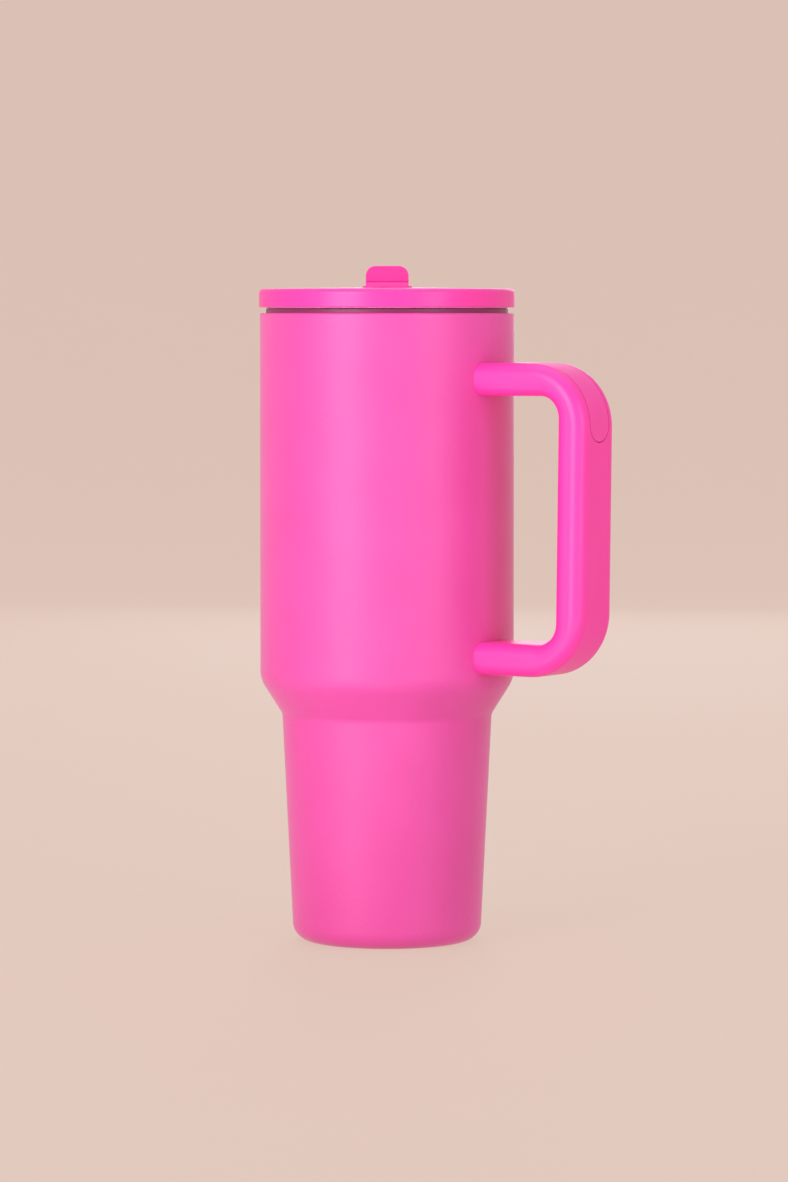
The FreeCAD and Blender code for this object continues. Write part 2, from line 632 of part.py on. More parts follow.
def cut_bracket_socket(body, name, middle):
    """Socket for a bracket's plate and tongue, and the screw's counterbore and hole."""
    for piece, width, height, end in (
            ("Plate", "dims.plate_w", "dims.plate_h", "dims.plate_x"),
            ("Tongue", "dims.tongue_w", "dims.tongue_h", "dims.tongue_x")):
        sketch = new_sketch(body, f"{piece}_socket_outline_{name}", "XY_Plane", middle)
        rectangle(sketch, "dims.root_x", f"{end} + dims.socket_gap",
                  f"-{width} / 2 - dims.socket_gap", f"{width} / 2 + dims.socket_gap")
        pocket(body, sketch, f"{piece}_socket_{name}", f"{height} + dims.socket_gap * 2",
               symmetric=True)
    under = f"{middle} - dims.handle_t / 2"
    hole = circle(new_sketch(body, f"Screw_outline_{name}", "XY_Plane", under), "dims.screw_x",
                  "0", "dims.tap_r + dims.socket_gap")
    pocket(body, hole, f"Screw_hole_{name}",
           "dims.head_sink + dims.screw_len + dims.socket_gap * 2", reverse=True)
    bore = circle(new_sketch(body, f"Head_outline_{name}", "XY_Plane", under), "dims.screw_x",
                  "0", "dims.head_r + dims.socket_gap")
    pocket(body, bore, f"Head_bore_{name}", "dims.head_sink", reverse=True)


def make_handle():
    """The handle, its two inlays, its two brackets and their screws."""
    parts = [make_handle_frame(), make_thumb_pad("thumb_pad"), make_grip_cover("grip_cover")]
    parts += [make_bracket(f"{name}_bracket", middle) for name, middle in ARMS.items()]
    screws = doc.addObject("Part::Compound", "handle_screws")
    screws.Label = "handle_screws"
    screws.Links = [make_screw(f"screw_{name}", middle) for name, middle in ARMS.items()]
    doc.recompute()
    return parts + [screws]


# ---------------------------------------------------------------- lid
def make_lid_seal():
    """Silicone ring between the lid's flange and the steel lip."""
    body = new_body("lid_seal")
    revolve(body, "Ring", [
        ("dims.seal_in_r", "dims.seal_low_z"),
        ("dims.seal_out_r", "dims.seal_low_z"),
        ("dims.seal_out_r", "dims.seal_top_z"),
        ("dims.seal_in_r", "dims.seal_top_z"),
    ])
    return body


def trough_outline(body, name, lift, grow="0"):
    """The trough's rectangle, grown on every side, at a height."""
    return rectangle(new_sketch(body, name, "XY_Plane", lift),
                     f"-dims.trough_w / 2 - {grow}", f"dims.trough_w / 2 + {grow}",
                     f"-dims.trough_front - {grow}", f"dims.trough_back + {grow}")


def make_lid_deck():
    """Upper moulding: crowned plate, rim, the trough of the spout and the tubes under it."""
    body = new_body("lid_deck")
    rim_in_r = "dims.lid_r - dims.rim_wall"
    revolve(body, "Plate", [
        ("0", "dims.deck_under_z"),
        (rim_in_r, "dims.deck_under_z"),
        (rim_in_r, "dims.lid_z"),
        ("dims.lid_r", "dims.lid_z"),
        ("dims.lid_r", "dims.deck_edge_z"),
        ("0", "dims.deck_mid_z"),
    ])
    fillet(body, "DeckRound", "dims.deck_round", is_ring("dims.lid_r", "dims.deck_edge_z"))
    fillet(body, "RimRound", "dims.rim_round", is_ring("dims.lid_r", "dims.lid_z"))
    upright = runs_along((0, 0, 1))
    tub_z = "dims.trough_z - dims.tub_floor"
    pad(body, trough_outline(body, "Tub_outline", tub_z, "dims.tub_wall"), "Tub",
        f"dims.deck_under_z - ({tub_z})")
    pad(body, trough_outline(body, "Bezel_outline", "dims.deck_under_z", "dims.bezel_w"), "Bezel",
        "dims.bezel_z - dims.deck_under_z")
    for name, y, radius, low in (("Straw_tube", "dims.hinge_y", "dims.tube_r", "dims.tube_z"),
                                 ("Vent_tube", "-dims.vent_y", "dims.vent_tube_r", "dims.plug_z")):
        outline = circle(new_sketch(body, name + "_outline", "XY_Plane", low), "0", y, radius)
        pad(body, outline, name, f"{tub_z} - {low}")
    pocket(body, trough_outline(body, "Trough_outline", "dims.bezel_z"), "Trough",
           "dims.bezel_z - dims.trough_z")
    fillet(body, "TroughCorners", "dims.trough_round",
           lambda e: upright(e) and e.CenterOfMass.z > size_of("dims.trough_z")
           and abs(abs(e.CenterOfMass.x) - size_of("dims.trough_w / 2")) < NEAR)
    fillet(body, "BezelCorners", "dims.trough_round + dims.bezel_w",
           lambda e: upright(e) and e.CenterOfMass.z > size_of("dims.deck_edge_z")
           and abs(abs(e.CenterOfMass.x) - size_of("dims.trough_w / 2 + dims.bezel_w")) < NEAR)
    on_top = lies_at("dims.bezel_z")

    def on_trough(edge):
        middle = edge.CenterOfMass
        return (abs(middle.x) < size_of("dims.trough_w / 2") + NEAR
                and -size_of("dims.trough_front") - NEAR < middle.y
                and middle.y < size_of("dims.trough_back") + NEAR)
    fillet(body, "BezelRound", "dims.bezel_round", lambda e: on_top(e) and not on_trough(e))
    fillet(body, "BezelLip", "dims.bezel_lip", lambda e: on_top(e) and on_trough(e))
    holes = [
        ("Seal_seat", "dims.hinge_y", "dims.port_seal_r + dims.socket_gap / 2", "dims.trough_z",
         "dims.trough_z - dims.port_seat_z"),
        ("Port", "dims.hinge_y", "dims.channel_r", "dims.port_seat_z",
         "dims.port_seat_z - dims.tube_z"),
        ("Grommet_bore", "dims.hinge_y", "dims.grommet_r", "dims.grommet_top_z",
         "dims.grommet_top_z - dims.tube_z"),
        ("Valve_seat", "-dims.vent_y", "dims.valve_r", "dims.trough_z", "dims.valve_neck"),
        ("Vent", "-dims.vent_y", "dims.vent_r", "dims.trough_z", "dims.trough_z - dims.plug_z"),
    ]
    for name, y, radius, top, depth in holes:
        outline = circle(new_sketch(body, name + "_outline", "XY_Plane", top), "0", y, radius)
        pocket(body, outline, name, depth)
    pins = circle(new_sketch(body, "Pin_outline", "YZ_Plane"), "dims.hinge_y", "dims.hinge_z",
                  "dims.pin_r")
    pocket(body, pins, "Pin_holes", "dims.pin_out_x * 2", symmetric=True)
    return body


def make_lid_plug():
    """Lower moulding: threaded cup with the flange that carries the seal."""
    body = new_body("lid_plug")
    bore_r = "dims.plug_r - dims.plug_wall"
    groove_in = "dims.seal_in_r - dims.seal_room"
    groove_out = "dims.seal_out_r + dims.seal_room"
    revolve(body, "Cup", [
        ("0", "dims.plug_z"),
        ("dims.plug_r", "dims.plug_z"),
        ("dims.plug_r", "dims.flange_z"),
        (groove_in, "dims.flange_z"),
        (groove_in, "dims.seal_top_z"),
        (groove_out, "dims.seal_top_z"),
        (groove_out, "dims.flange_z"),
        ("dims.flange_r", "dims.flange_z"),
        ("dims.flange_r", "dims.deck_under_z"),
        (bore_r, "dims.deck_under_z"),
        (bore_r, "dims.plug_z + dims.plug_floor"),
        ("0", "dims.plug_z + dims.plug_floor"),
    ])
    fillet(body, "PlugRound", "dims.plug_wall", is_ring("dims.plug_r", "dims.plug_z"))
    for name, y, radius in (("Tube", "dims.hinge_y", "dims.tube_r"),
                            ("Vent", "-dims.vent_y", "dims.vent_tube_r")):
        outline = circle(new_sketch(body, name + "_outline", "XY_Plane", "dims.plug_z"), "0", y,
                         radius)
        pocket(body, outline, name + "_hole", "dims.plug_floor * 2", reverse=True)
    helical_rib(body, "Thread", "dims.plug_r - dims.plug_wall / 2", "dims.lid_crest_r",
                "dims.thread_z - dims.thread_drop + dims.pitch * dims.lid_clock / 360")
    return body


def make_port_seal():
    """Silicone seat of the drinking port, hollowed to the drum's radius."""
    body = new_body("port_seal")
    disc = circle(new_sketch(body, "Disc_outline", "XY_Plane", "dims.port_seat_z"), "0",
                  "dims.hinge_y", "dims.port_seal_r")
    pad(body, disc, "Disc", "dims.port_seal_z - dims.port_seat_z")
    saddle = circle(new_sketch(body, "Saddle_outline", "YZ_Plane"), "dims.hinge_y", "dims.hinge_z",
                    "dims.drum_r + dims.port_seal_gap")
    pocket(body, saddle, "Saddle", "dims.port_seal_r * 3", symmetric=True)
    bore = circle(new_sketch(body, "Bore_outline", "XY_Plane", "dims.port_seal_z"), "0",
                  "dims.hinge_y", "dims.channel_r")
    pocket(body, bore, "Bore", "dims.port_seal_z - dims.port_seat_z")
    return body


def make_vent_valve():
    """Silicone valve of the air vent: a head on the trough's floor and a stem through it."""
    body = new_body("vent_valve")
    for name, radius, lift, height in (
            ("Head", "dims.valve_head_r", "dims.trough_z", "dims.valve_head_h"),
            ("Stem", "dims.valve_r", "dims.trough_z - dims.valve_neck", "dims.valve_neck")):
        outline = circle(new_sketch(body, name + "_outline", "XY_Plane", lift), "0", "-dims.vent_y",
                         radius)
        pad(body, outline, name, height)
    top = "dims.trough_z + dims.valve_head_h"
    fillet(body, "HeadRound", "dims.valve_round", lies_at(top))
    hole = circle(new_sketch(body, "Hole_outline", "XY_Plane", top), "0", "-dims.vent_y",
                  "dims.vent_r")
    pocket(body, hole, "Hole", "dims.valve_neck + dims.valve_head_h")
    return body


def make_hinge_pins():
    """Two stub pins, held in the trough's walls, on which the spout's drum turns."""
    pins = []
    for side, sign in (("left", "-"), ("right", "")):
        body = new_body(f"hinge_pin_{side}")
        outline = circle(new_sketch(body, "Pin_outline", "YZ_Plane", f"{sign}dims.pin_in_x"),
                         "dims.hinge_y", "dims.hinge_z", "dims.pin_r")
        stub = pad(body, outline, "Stub", "dims.pin_out_x - dims.pin_in_x")
        stub.Reversed = bool(sign)
        doc.recompute()
        pins.append(body)
    both = doc.addObject("Part::Compound", "hinge_pins")
    both.Label = "hinge_pins"
    both.Links = pins
    doc.recompute()
    return both


def make_straw():
    """Straw with a slanted lower end, and the silicone grommet that holds it in its tube."""
    straw = new_body("straw")
    tube = circle(new_sketch(straw, "Tube_outline", "XY_Plane", "dims.straw_low_z"), "0",
                  "dims.hinge_y", "dims.straw_r")
    pad(straw, tube, "Tube", "dims.straw_top_z - dims.straw_low_z")
    bore = circle(new_sketch(straw, "Bore_outline", "XY_Plane", "dims.straw_low_z"), "0",
                  "dims.hinge_y", "dims.straw_bore")
    pocket(straw, bore, "Bore", "dims.straw_top_z - dims.straw_low_z", reverse=True)
    slant = polygon(new_sketch(straw, "Slant_outline", "YZ_Plane"), [
        ("dims.hinge_y - dims.straw_r * 2", "dims.straw_low_z - dims.straw_slant"),
        ("dims.hinge_y + dims.straw_r * 2", "dims.straw_low_z - dims.straw_slant"),
        ("dims.hinge_y + dims.straw_r * 2", "dims.straw_low_z + dims.straw_slant * 1.5"),
        ("dims.hinge_y - dims.straw_r * 2", "dims.straw_low_z - dims.straw_slant / 2"),
    ])
    pocket(straw, slant, "Slant", "dims.straw_r * 3", symmetric=True)
    grommet = new_body("straw_grommet")
    for name, radius, lift, height in (
            ("Flange", "dims.tube_r", "dims.tube_z - dims.grommet_flange", "dims.grommet_flange"),
            ("Sleeve", "dims.grommet_r", "dims.tube_z", "dims.grommet_top_z - dims.tube_z")):
        outline = circle(new_sketch(grommet, name + "_outline", "XY_Plane", lift), "0",
                         "dims.hinge_y", radius)
        pad(grommet, outline, name, height)
    for name, radius, low in (("Socket", "dims.straw_r", "dims.straw_top_z"),
                              ("Passage", "dims.channel_r", "dims.grommet_top_z")):
        outline = circle(new_sketch(grommet, name + "_outline", "XY_Plane", low), "0",
                         "dims.hinge_y", radius)
        pocket(grommet, outline, name, f"{low} - dims.tube_z + dims.grommet_flange")
    return [straw, grommet]


# ---------------------------------------------------------------- flip spout
def make_spout_body():
    """Rocker that turns on the pins: drum, channel, finger tab and the nub over the vent."""
    body = new_body("spout_body")
    low, top = "dims.spout_low_z", "dims.spout_top_z"
    side = polygon(new_sketch(body, "Side_outline", "YZ_Plane"), [
        ("-dims.spout_front", low),
        ("dims.hinge_y", low),
        ("dims.hinge_y", top),
        ("-dims.tab_back", top),
        ("-dims.tab_back", "dims.tab_z"),
        ("-dims.spout_front - dims.tab_lip", "dims.tab_z"),
        ("-dims.spout_front - dims.tab_lip", "dims.tab_lip_z"),
        ("-dims.spout_front - dims.tab_lip + dims.neck_in", "dims.tab_lip_z"),
        ("-dims.spout_front - dims.neck_out", "dims.neck_z"),
        ("-dims.spout_front", "dims.neck_z"),
    ])
    pad(body, side, "Housing", "dims.spout_w", symmetric=True)
    drum = circle(new_sketch(body, "Drum_outline", "YZ_Plane"), "dims.hinge_y", "dims.hinge_z",
                  "dims.drum_r")
    pad(body, drum, "Drum", "dims.spout_w", symmetric=True)
    fillet(body, "TabCorners", "dims.tab_round",
           runs_along((0, 1, 0), lambda m: m.z > size_of("dims.tab_z") - NEAR))
    fillet(body, "TabSweep", "dims.tab_sweep",
           runs_along((1, 0, 0), lambda m: abs(m.z - size_of(top)) < NEAR
                      and abs(m.y + size_of("dims.tab_back")) < NEAR))
    nub = circle(new_sketch(body, "Nub_outline", "XY_Plane", "dims.nub_z"), "0", "-dims.vent_y",
                 "dims.nub_r")
    pad(body, nub, "Nub", f"{low} - dims.nub_z")
    channel = circle(new_sketch(body, "Channel_outline", "XZ_Plane"), "0", "dims.hinge_z",
                     "dims.channel_r")
    pocket(body, channel, "Channel", "dims.trough_back * 4", symmetric=True)
    seat = circle(new_sketch(body, "Mouth_outline", "XZ_Plane", "dims.spout_front"), "0",
                  "dims.hinge_z", "dims.mouth_r")
    pocket(body, seat, "Mouth_seat", "dims.mouth_seat")
    half = "dims.spout_w / 2"
    for side, sign in (("left", "-"), ("right", "")):
        hole = circle(new_sketch(body, f"Pin_outline_{side}", "YZ_Plane", f"{sign}{half}"),
                      "dims.hinge_y", "dims.hinge_z", "dims.pin_r + dims.pin_gap")
        pocket(body, hole, f"Pin_hole_{side}", f"{half} - dims.pin_in_x + dims.pin_gap * 4",
               reverse=bool(sign))
    front_y = size_of("-dims.spout_front - dims.tab_lip")
    fillet(body, "TabEdges", "dims.tab_edge",
           lambda e: abs(e.CenterOfMass.y - front_y) < NEAR
           and e.CenterOfMass.z > size_of("dims.tab_lip_z") + NEAR)
    return body


def make_mouthpiece():
    """Silicone mouthpiece: a sleeve in the housing and a rounded tip in front of it."""
    body = new_body("mouthpiece")
    front = "dims.spout_front"
    for name, radius, lift, length in (
            ("Sleeve", "dims.mouth_r", f"{front} - dims.mouth_seat", "dims.mouth_seat"),
            ("Tip", "dims.tip_r", front, "dims.tip_len")):
        outline = circle(new_sketch(body, name + "_outline", "XZ_Plane", lift), "0",
                         "dims.hinge_z", radius)
        pad(body, outline, name, length)
    end_y = -size_of("dims.spout_front + dims.tip_len")
    fillet(body, "TipRound", "dims.tip_round", lambda e: abs(e.CenterOfMass.y - end_y) < NEAR)
    bore = circle(new_sketch(body, "Bore_outline", "XZ_Plane", f"{front} + dims.tip_len"), "0",
                  "dims.hinge_z", "dims.channel_r")
    pocket(body, bore, "Bore", "dims.mouth_seat + dims.tip_len")
    return body


def turn_with_lid(parts):
    """Turns the lid's pieces about the flask's axis to where the thread stops them."""
    for part in parts:
        part.Placement = FreeCAD.Placement(FreeCAD.Vector(), FreeCAD.Rotation(
            FreeCAD.Vector(0, 0, 1), size_of("dims.lid_clock")))
        part.setExpression("Placement.Rotation.Angle", "dims.lid_clock")
    doc.recompute()
    return parts


# ---------------------------------------------------------------- the assembly
flask_parts = [make_outer_shell(), make_inner_liner(), make_outer_base()]
flask_parts += make_small_flask_parts() + make_handle()
lid_parts = [make_lid_deck(), make_lid_plug(), make_port_seal(), make_vent_valve()]
lid_parts += [make_hinge_pins()] + make_straw() + [make_spout_body(), make_mouthpiece()]
nodes = flask_parts + [make_lid_seal()] + turn_with_lid(lid_parts)
doc.recompute()

for item in doc.Objects:
    if "Invalid" in item.State or "Error" in item.State:
        raise RuntimeError(f"{item.Label} did not build: {item.State}")
os.makedirs("parts", exist_ok=True)
for node in nodes:
    if node.Shape.isNull() or not node.Shape.isValid():
        raise RuntimeError(f"{node.Label} has no valid shape")
    node.Shape.exportStep(f"parts/{node.Label}.step")
    print(f"{node.Label}: {len(node.Shape.Solids)} solid(s), {node.Shape.Volume / 1000:.2f} cm3")
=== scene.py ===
# %% [markdown]
# # An insulated tumbler with a flip-straw lid and a loop handle
#
# The real object is a steel flask with a second steel wall inside it, painted on the outside with
# a satin powder coat. A moulded lid screws into its mouth, and a moulded handle is screwed to
# its side. The solid model already holds every part in its place, so this lesson dresses it: it
# loads that frame, rebuilds the surfaces that the eye follows, and gives each part the finish that
# its making leaves on it.

# %% Load the fixed frame
import math

import bpy
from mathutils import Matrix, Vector


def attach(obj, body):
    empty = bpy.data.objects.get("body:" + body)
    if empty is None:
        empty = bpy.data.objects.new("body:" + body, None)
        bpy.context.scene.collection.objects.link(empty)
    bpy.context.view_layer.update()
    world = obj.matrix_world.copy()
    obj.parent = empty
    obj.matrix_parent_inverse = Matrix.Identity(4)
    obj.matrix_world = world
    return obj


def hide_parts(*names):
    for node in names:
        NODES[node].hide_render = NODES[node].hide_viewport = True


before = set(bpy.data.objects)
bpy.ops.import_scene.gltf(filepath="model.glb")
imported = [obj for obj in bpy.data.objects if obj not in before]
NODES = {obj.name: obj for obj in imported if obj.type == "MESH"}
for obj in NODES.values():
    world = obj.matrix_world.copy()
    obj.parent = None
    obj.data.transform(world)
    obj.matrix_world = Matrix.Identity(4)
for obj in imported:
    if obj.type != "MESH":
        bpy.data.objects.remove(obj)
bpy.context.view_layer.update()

# %% [markdown]
# ## Three small tools
#
# Sizes are easiest to read in millimetres and colours in the hex values of a colour chart, while
# Blender wants metres and linear light. Node trees are long when each node takes five lines, so
# one function adds a node, sets it and links it. The same function serves shaders and geometry.

# %% Millimetres, colours and nodes
MM = 0.001


def linear(chart_colour):
    """An sRGB hex value as linear red, green and blue, with full alpha."""
    parts = [int(chart_colour[i:i + 2], 16) / 255 for i in (1, 3, 5)]
    return (*(p / 12.92 if p <= 0.04045 else ((p + 0.055) / 1.055) ** 2.4 for p in parts), 1.0)


def add(tree, kind, inputs=None, **settings):
    """A new node; each input is given by name or number, as a value or as a socket to link."""
    made = tree.nodes.new(kind)
    for setting, value in settings.items():
        setattr(made, setting, value)
    for key, value in (inputs or {}).items():
        if isinstance(value, bpy.types.NodeSocket):
            tree.links.new(value, made.inputs[key])
        else:
            made.inputs[key].default_value = value
    return made


print("hot pink in linear light:", [round(c, 3) for c in linear("#FB58B8")])

# %% [markdown]
# ## A lathe made of geometry nodes
#
# The flask's wall is a turned shape: one outline of straight runs with rounded corners, carried
# once round the axis. A screw modifier could turn it, but the rounding of each corner would have
# to be worked out by hand. This tree takes each corner's radius, height and rounding as a named
# input, rounds the outline with Fillet Curve, splits its long runs so that the shading stays
# even, and sweeps it round a small circle. The same tree turns the studio's floor.

# %% The lathe
AXLE = 10 * MM  # radius of the circle that the outline is swept round
SEAM = 0.001 * MM  # points closer than this are one point


def lathe_tree(name, corner_names):
    """A tree that turns an outline whose corners have these names."""
    tree = bpy.data.node_groups.new(name, "GeometryNodeTree")
    face = tree.interface
    for corner in corner_names:
        for size in ("radius", "height", "rounding"):
            face.new_socket(f"{corner} {size}", in_out="INPUT", socket_type="NodeSocketFloat")
    for socket, kind in (("Closed outline", "Bool"), ("Rounding steps", "Int"),
                         ("Longest run", "Float"), ("Segments", "Int"), ("Finish", "Material")):
        face.new_socket(socket, in_out="INPUT", socket_type=f"NodeSocket{kind}")
    face.new_socket("Geometry", in_out="OUTPUT", socket_type="NodeSocketGeometry")
    given = tree.nodes.new("NodeGroupInput").outputs
    index = add(tree, "GeometryNodeInputIndex").outputs[0]
    places = add(tree, "GeometryNodeIndexSwitch", {0: index}, data_type="VECTOR")
    rounds = add(tree, "GeometryNodeIndexSwitch", {0: index}, data_type="FLOAT")
    for switch in (places, rounds):
        for _ in corner_names[2:]:
            switch.index_switch_items.new()
    for number, corner in enumerate(corner_names, start=1):
        offset = add(tree, "ShaderNodeMath", {0: given[f"{corner} radius"], 1: AXLE},
                     operation="SUBTRACT")
        down = add(tree, "ShaderNodeMath", {0: given[f"{corner} height"], 1: -1.0},
                   operation="MULTIPLY")
        place = add(tree, "ShaderNodeCombineXYZ", {"X": offset.outputs[0], "Y": down.outputs[0]})
        tree.links.new(place.outputs[0], places.inputs[number])
        tree.links.new(given[f"{corner} rounding"], rounds.inputs[number])
    points = add(tree, "GeometryNodePoints", {"Count": len(corner_names),
                                              "Position": places.outputs[0]})
    line = add(tree, "GeometryNodePointsToCurves", {"Points": points.outputs[0], "Weight": index})
    closed = add(tree, "GeometryNodeSetSplineCyclic", {"Geometry": line.outputs[0],
                                                      "Cyclic": given["Closed outline"]})
    rounded = add(tree, "GeometryNodeFilletCurve",
                  {"Curve": closed.outputs[0], "Radius": rounds.outputs[0],
                   "Count": given["Rounding steps"]}, mode="POLY")
    here = add(tree, "GeometryNodeInputPosition").outputs[0]
    after = add(tree, "ShaderNodeMath", {0: index, 1: 1.0}, operation="ADD")
    there = add(tree, "GeometryNodeFieldAtIndex", {"Index": after.outputs[0], "Value": here},
                data_type="FLOAT_VECTOR")
    run = add(tree, "ShaderNodeVectorMath", {0: here, 1: there.outputs[0]}, operation="DISTANCE")
    share = add(tree, "ShaderNodeMath", {0: run.outputs["Value"], 1: given["Longest run"]},
                operation="DIVIDE")
    cuts = add(tree, "ShaderNodeMath", {0: share.outputs[0]}, operation="FLOOR")
    split = add(tree, "GeometryNodeSubdivideCurve", {"Curve": rounded.outputs[0],
                                                    "Cuts": cuts.outputs[0]})
    circle = add(tree, "GeometryNodeCurvePrimitiveCircle", {"Resolution": given["Segments"],
                                                           "Radius": AXLE})
    turned = add(tree, "GeometryNodeCurveToMesh", {"Curve": circle.outputs[0],
                                                   "Profile Curve": split.outputs[0]})
    merged = add(tree, "GeometryNodeMergeByDistance", {"Geometry": turned.outputs[0],
                                                      "Distance": SEAM})
    smooth = add(tree, "GeometryNodeSetShadeSmooth", {"Geometry": merged.outputs[0]})
    real = add(tree, "GeometryNodeRealizeInstances", {"Geometry": smooth.outputs[0]})
    dressed = add(tree, "GeometryNodeSetMaterial", {"Geometry": real.outputs[0],
                                                   "Material": given["Finish"]})
    add(tree, "NodeGroupOutput", {0: dressed.outputs[0]})
    return tree


def grow(name, tree, sizes):
    """The tree's result as a plain mesh object that has no modifier."""
    host = bpy.data.objects.new(name, bpy.data.meshes.new(name + "_seed"))
    bpy.context.scene.collection.objects.link(host)
    modifier = host.modifiers.new("grow", "NODES")
    modifier.node_group = tree
    for item in tree.interface.items_tree:
        if item.in_out == "INPUT":
            modifier[item.identifier] = sizes[item.name]
    depsgraph = bpy.context.evaluated_depsgraph_get()
    mesh = bpy.data.meshes.new_from_object(host.evaluated_get(depsgraph))
    host.modifiers.remove(modifier)
    mesh.name = name
    host.data = mesh
    return host


def turn(name, corners, finish, closed, steps, longest, segments):
    """A turned piece from {corner: (radius, height, rounding)} in millimetres."""
    sizes = {"Closed outline": closed, "Rounding steps": steps, "Longest run": longest * MM,
             "Segments": segments, "Finish": finish}
    for corner, values in corners.items():
        for size, value in zip(("radius", "height", "rounding"), values):
            sizes[f"{corner} {size}"] = float(value * MM)
    piece = grow(name, lathe_tree("Lathe for " + name, list(corners)), sizes)
    height = max(v.co.z for v in piece.data.vertices) - min(v.co.z for v in piece.data.vertices)
    print(name, "faces:", len(piece.data.polygons), "height in mm:", round(height / MM, 2))
    return piece


# %% [markdown]
# ## Finishes
#
# Each finish is named for the real material and starts from how its surface is made. Patterns
# read Object coordinates, which are metres in the flask's own frame, so a noise of scale 1000 / s
# has grains of s millimetres.

# %% A finish from its grain
def finish(name, tints, gloss, grain, depth, wander, detail=2.0, **sockets):
    """A material that is rough from gloss[0] to gloss[1] and wanders between two tints.

    grain is the size of the pattern that gives the relief and the uneven gloss, depth is that
    relief, and wander is the size of the patches of colour, all in millimetres.
    """
    material = bpy.data.materials.new(name)
    material.use_nodes = True
    tree = material.node_tree
    shader = tree.nodes["Principled BSDF"]
    place = add(tree, "ShaderNodeTexCoord", name="Place").outputs["Object"]
    fine = add(tree, "ShaderNodeTexNoise", {"Vector": place, "Scale": 1 / (grain * MM),
                                            "Detail": detail}, name="Grain")
    broad = add(tree, "ShaderNodeTexNoise", {"Vector": place, "Scale": 1 / (wander * MM)},
                name="Wander")
    middle = {"From Min": 0.3, "From Max": 0.7}  # most of a noise lies between these
    rough = add(tree, "ShaderNodeMapRange", {"Value": fine.outputs["Fac"], **middle,
                                             "To Min": gloss[0], "To Max": gloss[1]})
    share = add(tree, "ShaderNodeMapRange", {"Value": broad.outputs["Fac"], **middle})
    tint = add(tree, "ShaderNodeMix", {0: share.outputs[0], 6: linear(tints[0]),
                                       7: linear(tints[1])}, name="Tint", data_type="RGBA")
    relief = add(tree, "ShaderNodeBump", {"Height": fine.outputs["Fac"], "Distance": depth * MM},
                 name="Relief")
    tree.links.new(tint.outputs[2], shader.inputs["Base Color"])
    tree.links.new(rough.outputs[0], shader.inputs["Roughness"])
    tree.links.new(relief.outputs[0], shader.inputs["Normal"])
    for socket, value in sockets.items():
        shader.inputs[socket.replace("_", " ")].default_value = value
    print(name, "- grain in mm:", grain, "relief in mm:", depth)
    return material


FINISHES = {}

# %% [markdown]
# ** Polyester powder coat.** Paint powder is blown on the steel and melted in an oven. It flows into
# a satin skin with a slight orange peel, about 1.5 mm from crest to crest, and with a finer tooth
# from the matting agent. A real tooth is under a tenth of a millimetre and its relief a few
# hundredths, too fine to show, so they are drawn at 0.6 mm and 0.13 mm. The gap under the lid has
# to read as a dark line, but the softboxes stand low enough to shine into it. So the collar in the
# gap is coloured plum. That is a painted shadow, and not a finish that the object has.

# %% Powder coat
coat = finish("Polyester powder coat, satin", ("#E14AA4", "#E54EA9"), gloss=(0.38, 0.47),
              grain=0.6, depth=0.13, wander=24, detail=3.0,
              Sheen_Weight=0.25, Sheen_Roughness=0.35)
tree = coat.node_tree
nodes = tree.nodes
place = nodes["Place"].outputs["Object"]
PEEL = 1.5 * MM
TOOTH_SHARE = 0.45  # of the relief; the rest is orange peel
peel = add(tree, "ShaderNodeTexNoise", {"Vector": place, "Scale": 1 / PEEL, "Detail": 2.0})
skin = add(tree, "ShaderNodeMix", {0: TOOTH_SHARE, 2: peel.outputs["Fac"],
                                   3: nodes["Grain"].outputs["Fac"]}, data_type="FLOAT")
tree.links.new(skin.outputs[0], nodes["Relief"].inputs["Height"])
RIM = 242.6  # height of the painted wall's rim, in mm; only the collar stands above it
# Above the rim, the collar gets plum in place of the coat's tint: a painted shade for the gap under
# the lid.
height = add(tree, "ShaderNodeSeparateXYZ", {0: place}).outputs["Z"]
in_gap = add(tree, "ShaderNodeMath", {0: height, 1: (RIM + 0.1) * MM}, operation="GREATER_THAN")
shadow = add(tree, "ShaderNodeMix", {0: in_gap.outputs[0], 6: nodes["Tint"].outputs[2],
                                     7: linear("#8E2C6C")}, data_type="RGBA")
tree.links.new(shadow.outputs[2], nodes["Principled BSDF"].inputs["Base Color"])
FINISHES["powder_coat"] = coat

# %% [markdown]
# **Moulded polypropylene.** The lid and the handle come out of a steel mould whose cavity was spark
# eroded, which leaves an even, very fine matt grain and no brush marks. Pigment in the plastic
# gives a slightly deeper pink than the paint. The grain is drawn at 0.5 mm.

# %% Moulded plastic
for slot, title, tints in (
        ("lid_plastic", "Polypropylene, moulded lid", ("#F439A6", "#F63CA9")),
        ("handle_plastic", "Polypropylene, moulded handle", ("#F93AAA", "#FB3DAD"))):
    FINISHES[slot] = finish(title, tints, gloss=(0.33, 0.40), grain=0.5, depth=0.006, wander=14)

# %% [markdown]
# **Soft-touch elastomer.** The thumb pad and the finger cover are a rubbery thermoplastic. Its
# surface scatters light more than the hard plastic does, so the same pink looks a little flatter.

# %% Soft-touch elastomer
FINISHES["soft_touch"] = finish("Thermoplastic elastomer, soft touch", ("#F639A7", "#FA3DAB"),
                                gloss=(0.5, 0.6), grain=0.45, depth=0.012, wander=9, detail=3.0,
                                Sheen_Weight=0.15, Sheen_Roughness=0.5)

# %% [markdown]
# **Stainless steel, brushed on the lathe.** The liner and its lip are spun and then brushed while
# they turn, so the scratches run round the axis. Noise that is read by radius and height, and not
# by angle, makes such rings. Brush lines are about 0.1 mm apart, and they are drawn at 0.4 mm.

